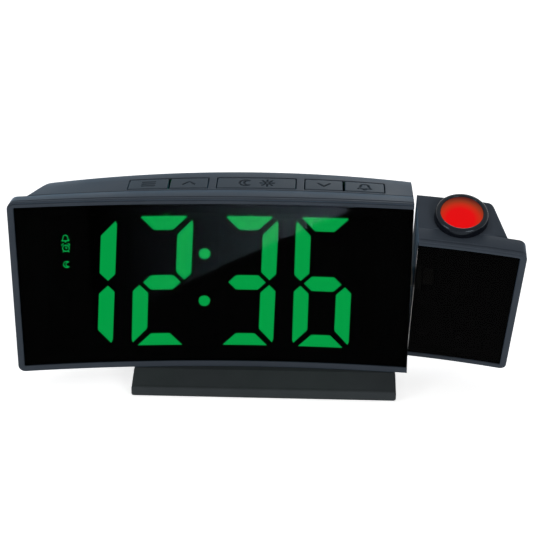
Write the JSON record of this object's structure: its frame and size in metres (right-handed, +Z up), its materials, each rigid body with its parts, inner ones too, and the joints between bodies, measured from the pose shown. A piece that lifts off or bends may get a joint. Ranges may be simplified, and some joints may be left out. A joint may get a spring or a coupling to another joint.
{
  "type": "projection alarm clock",
  "caption": "Curved-screen digital alarm clock on a wide foot, with push buttons along its top and a tilting time projector at its right end.",
  "frame": {"origin": "on the table, under the middle of the clock's bounding box", "axes": "+X to the viewer's right, towards the projector; +Y to the back, away from the viewer; +Z up"},
  "size_m": [0.208, 0.0634, 0.0885],
  "materials": {
    "case_plastic": "satin moulded, fine texture, blue-grey",
    "button_plastic": "satin moulded with engraved marks",
    "foot_plastic": "satin moulded, fine texture",
    "window_acrylic": "polished smoked acrylic",
    "lit_diffuser": "glowing green diffuser",
    "unlit_diffuser": "milky, dark when unlit",
    "reflector_plastic": "white moulded",
    "circuit_board": "green solder mask",
    "black_component": "moulded black",
    "white_component": "natural nylon",
    "zinc_steel": "zinc plated",
    "cell_steel": "stamped stainless",
    "nickel": "nickel plated",
    "acetal": "natural acetal",
    "friction_rubber": "smooth",
    "foot_rubber": "fine textured",
    "ring_plastic": "satin gloss moulded",
    "red_lens": "polished, tinted red",
    "clear_lens": "polished clear",
    "lcd_glass": "thin glass sandwich",
    "lamp_epoxy": "red epoxy dome",
    "wire_jacket": "extruded vinyl"
  },
  "bodies": {
    "clock_body": {"board_screws": "zinc_steel", "button_board": "circuit_board", "button_board_screws": "zinc_steel", "buzzer": "black_component", "case_screws": "zinc_steel", "cell_contact": "nickel", "charging_socket": "nickel", "coin_cell": "cell_steel", "colon_dots": "lit_diffuser", "control_chip": "black_component", "crystal": "nickel", "display_window": "window_acrylic", "foot_pads": "foot_rubber", "foot_screws": "zinc_steel", "friction_washer": "friction_rubber", "front_frame": "case_plastic", "harness_header": "white_component", "hinge_bush": "acetal", "indicator_icons": "lit_diffuser", "light_wells": "reflector_plastic", "lit_segments": "lit_diffuser", "main_board": "circuit_board", "power_socket": "black_component", "projector_harness": "wire_jacket", "rear_shell": "case_plastic", "segment_leds": "white_component", "stand_foot": "foot_plastic", "tact_switches": "black_component", "unlit_segments": "unlit_diffuser"},
    "projector_module": {"projector_frame": "case_plastic", "projector_window": "window_acrylic", "projector_shell": "case_plastic", "projector_screws": "zinc_steel", "projector_shaft": "white_component", "retaining_clip": "cell_steel", "lens_barrel": "black_component", "lcd_slide": "lcd_glass", "condenser_lens": "clear_lens", "lamp_board": "circuit_board", "projector_led": "lamp_epoxy", "projector_plug": "white_component", "lamp_leads": "wire_jacket"},
    "focus_ring": {"lens_ring": "ring_plastic", "projection_lens": "red_lens"},
    "mode_button": {"mode_button": "button_plastic"},
    "up_button": {"up_button": "button_plastic"},
    "snooze_button": {"snooze_button": "button_plastic"},
    "down_button": {"down_button": "button_plastic"},
    "alarm_button": {"alarm_button": "button_plastic"},
    "cell_cover": {"cell_cover": "case_plastic"}
  },
  "joints": [
    {"name": "projector_tilt", "type": "hinge", "parent": "clock_body", "child": "projector_module", "pos_m": [0.06115, 0.0017, 0.048], "axis": [1, 0, 0], "range_deg": [-117.93, 62.07]},
    {"name": "focus_turn", "type": "hinge", "parent": "projector_module", "child": "focus_ring", "pos_m": [0.079, 0.0017, 0.048], "axis": [0, -0.4684, 0.8835], "range_deg": [-45, 45]},
    {"name": "mode_press", "type": "slide", "parent": "clock_body", "child": "mode_button", "axis": [0, 0, -1], "range_m": [0, 0.0005], "stiffness_N_per_m": 300, "springref_m": -0.001},
    {"name": "up_press", "type": "slide", "parent": "clock_body", "child": "up_button", "axis": [0, 0, -1], "range_m": [0, 0.0005], "stiffness_N_per_m": 300, "springref_m": -0.001},
    {"name": "snooze_press", "type": "slide", "parent": "clock_body", "child": "snooze_button", "axis": [0, 0, -1], "range_m": [0, 0.0005], "stiffness_N_per_m": 300, "springref_m": -0.001},
    {"name": "down_press", "type": "slide", "parent": "clock_body", "child": "down_button", "axis": [0, 0, -1], "range_m": [0, 0.0005], "stiffness_N_per_m": 300, "springref_m": -0.001},
    {"name": "alarm_press", "type": "slide", "parent": "clock_body", "child": "alarm_button", "axis": [0, 0, -1], "range_m": [0, 0.0005], "stiffness_N_per_m": 300, "springref_m": -0.001},
    {"name": "cover_pull", "type": "slide", "parent": "clock_body", "child": "cell_cover", "axis": [0, 1, 0], "range_m": [0, 0.012]}
  ]
}
